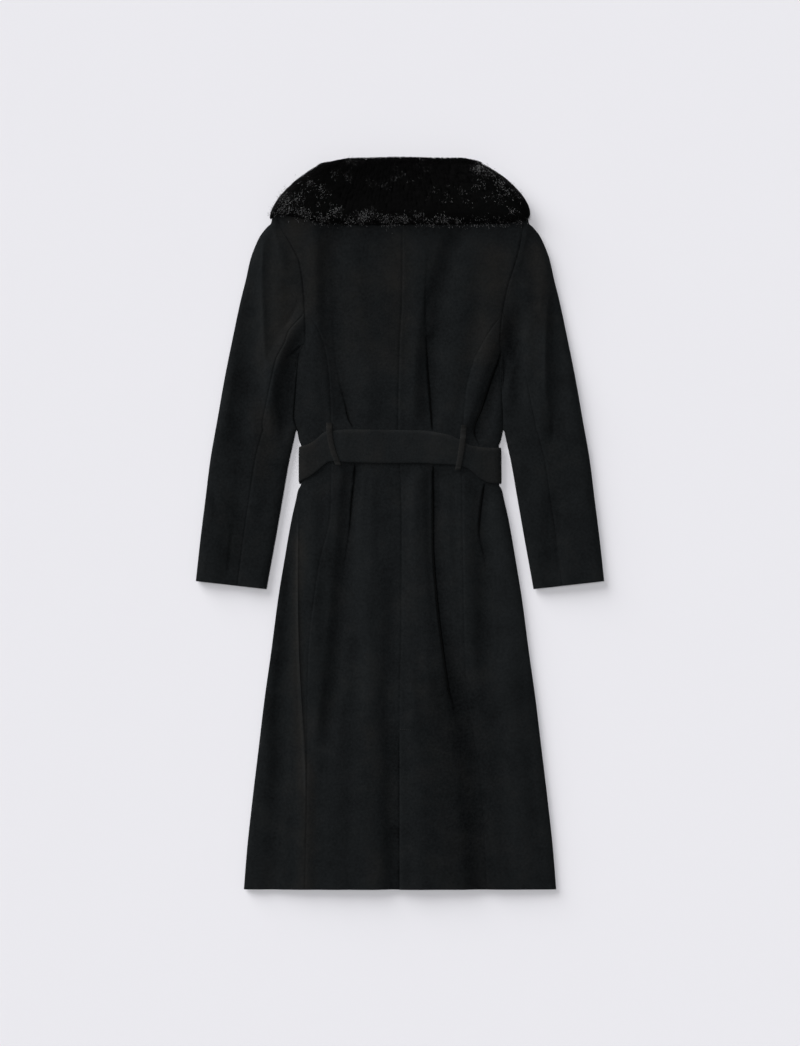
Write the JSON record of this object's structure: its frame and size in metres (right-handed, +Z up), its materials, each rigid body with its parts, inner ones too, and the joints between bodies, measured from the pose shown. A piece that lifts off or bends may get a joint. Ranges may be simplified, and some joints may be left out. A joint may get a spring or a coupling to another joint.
{
  "type": "long belted coat with fur collar",
  "caption": "Long belted coat of heavy black cloth with a wide fur collar, princess seams, sleeves in two pieces and a back vent, laid flat with its back up.",
  "frame": {"origin": "on the surface that the coat lies on, at the middle of its outline seen from above", "axes": "+Y along the centre back from hem to collar, +X across the coat to the right as seen from above, +Z up from the surface"},
  "size_m": [0.6936, 1.2426, 0.0456],
  "materials": {
    "coat_cloth": "felted wool coating cloth, matt with a soft nap",
    "belt_cloth": "the same coating cloth, doubled and pressed",
    "fur": "deep glossy pile with paler tips along the edge"
  },
  "bodies": {
    "root": {"centre_back_left": "coat_cloth", "centre_back_right": "coat_cloth", "side_back_left": "coat_cloth", "side_back_right": "coat_cloth", "front_left": "coat_cloth", "front_right": "coat_cloth", "top_sleeve_left": "coat_cloth", "top_sleeve_right": "coat_cloth", "under_sleeve_left": "coat_cloth", "under_sleeve_right": "coat_cloth", "collar_stand": "coat_cloth", "belt": "belt_cloth", "belt_loop_left": "belt_cloth", "belt_loop_right": "belt_cloth", "fur_collar": "fur"}
  },
  "joints": []
}
